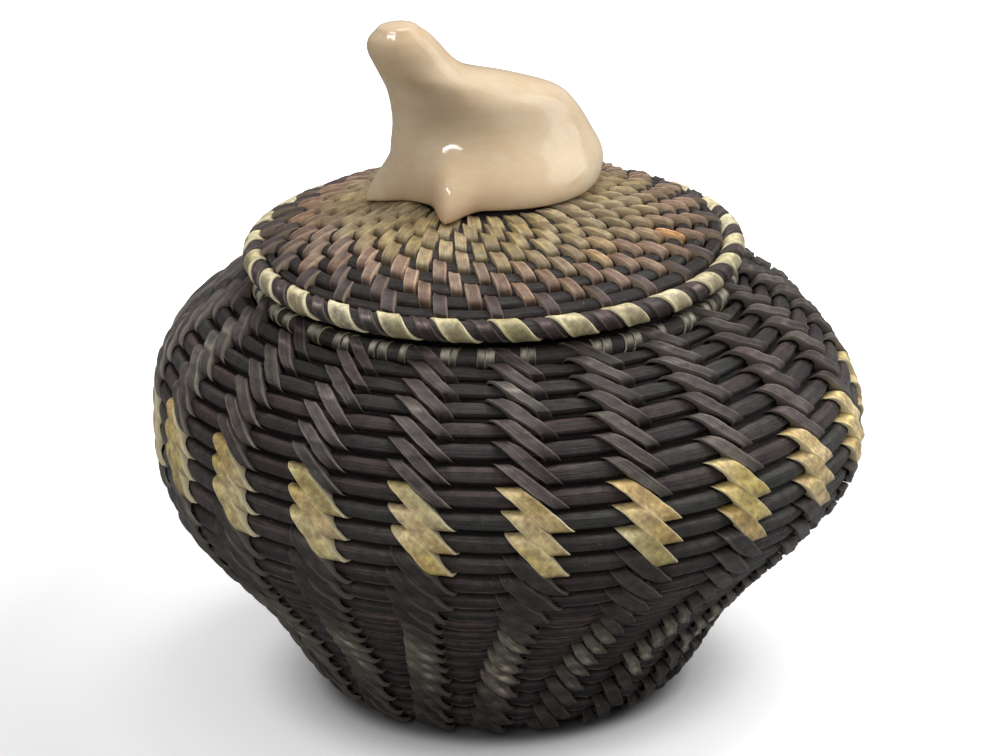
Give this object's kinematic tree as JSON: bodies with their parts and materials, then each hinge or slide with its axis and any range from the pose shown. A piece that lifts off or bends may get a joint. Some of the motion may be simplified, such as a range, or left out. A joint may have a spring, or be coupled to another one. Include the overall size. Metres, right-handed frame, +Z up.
{
  "type": "lidded coiled basket",
  "caption": "Round coiled baleen basket with a domed lift-off lid and a carved ivory seal as its finial.",
  "frame": {"origin": "centre of the underside, on the surface that the basket stands on", "axes": "+Z up through the middle of the basket and lid, the side seen in the picture towards -Y, the seal's head towards -X"},
  "size_m": [0.0903, 0.0903, 0.0882],
  "materials": {
    "dark_baleen": "black-brown baleen with a soft horn-like sheen",
    "brown_baleen": "brown baleen strips with pale edges, satin",
    "pale_baleen": "tan to olive-yellow baleen strips, satin",
    "ivory": "polished carved ivory"
  },
  "bodies": {
    "vessel": {"base_starter_disc": "ivory", "base_coil": "dark_baleen", "foot_coil": "dark_baleen", "lower_coil": "dark_baleen", "belly_coil": "dark_baleen", "upper_coil": "dark_baleen", "rim_rod": "dark_baleen", "light_stitches_01": "pale_baleen", "light_stitches_02": "pale_baleen", "light_stitches_03": "pale_baleen", "light_stitches_04": "pale_baleen", "light_stitches_05": "pale_baleen", "light_stitches_06": "pale_baleen", "light_stitches_07": "pale_baleen", "light_stitches_08": "pale_baleen", "light_stitches_09": "pale_baleen", "light_stitches_10": "pale_baleen", "light_stitches_11": "pale_baleen", "light_stitches_12": "pale_baleen", "light_stitches_13": "pale_baleen", "light_stitches_14": "pale_baleen", "light_stitches_15": "pale_baleen", "light_stitches_16": "pale_baleen", "light_stitches_17": "pale_baleen", "light_stitches_18": "pale_baleen", "light_stitches_19": "pale_baleen", "light_stitches_20": "pale_baleen"},
    "lid": {"lid_coil": "dark_baleen", "lid_rim_rod": "dark_baleen", "lid_flange": "dark_baleen", "lid_starter_disc": "ivory", "lid_stitches_01": "brown_baleen", "lid_stitches_02": "brown_baleen", "lid_stitches_03": "brown_baleen", "lid_stitches_04": "brown_baleen", "lid_stitches_05": "brown_baleen", "lid_stitches_06": "brown_baleen", "lid_stitches_07": "brown_baleen", "lid_stitches_08": "brown_baleen", "lid_stitches_09": "brown_baleen", "lid_stitches_10": "brown_baleen", "lid_stitches_11": "brown_baleen", "lid_stitches_12": "brown_baleen", "lid_stitches_13": "brown_baleen", "lid_stitches_14": "brown_baleen", "lid_stitches_15": "brown_baleen", "lid_stitches_16": "brown_baleen", "lid_stitches_17": "brown_baleen", "lid_stitches_18": "brown_baleen", "lid_stitches_19": "brown_baleen", "lid_stitches_20": "brown_baleen", "lid_stitches_21": "brown_baleen", "lid_stitches_22": "brown_baleen", "lid_stitches_23": "brown_baleen", "lid_stitches_24": "brown_baleen", "lid_stitches_25": "brown_baleen", "lid_stitches_26": "brown_baleen", "finial_seal": "ivory", "finial_peg": "ivory"}
  },
  "joints": [
    {"name": "lid_lift", "type": "slide", "parent": "vessel", "child": "lid", "axis": [0, 0, 1], "range_m": [0, 0.06]}
  ]
}
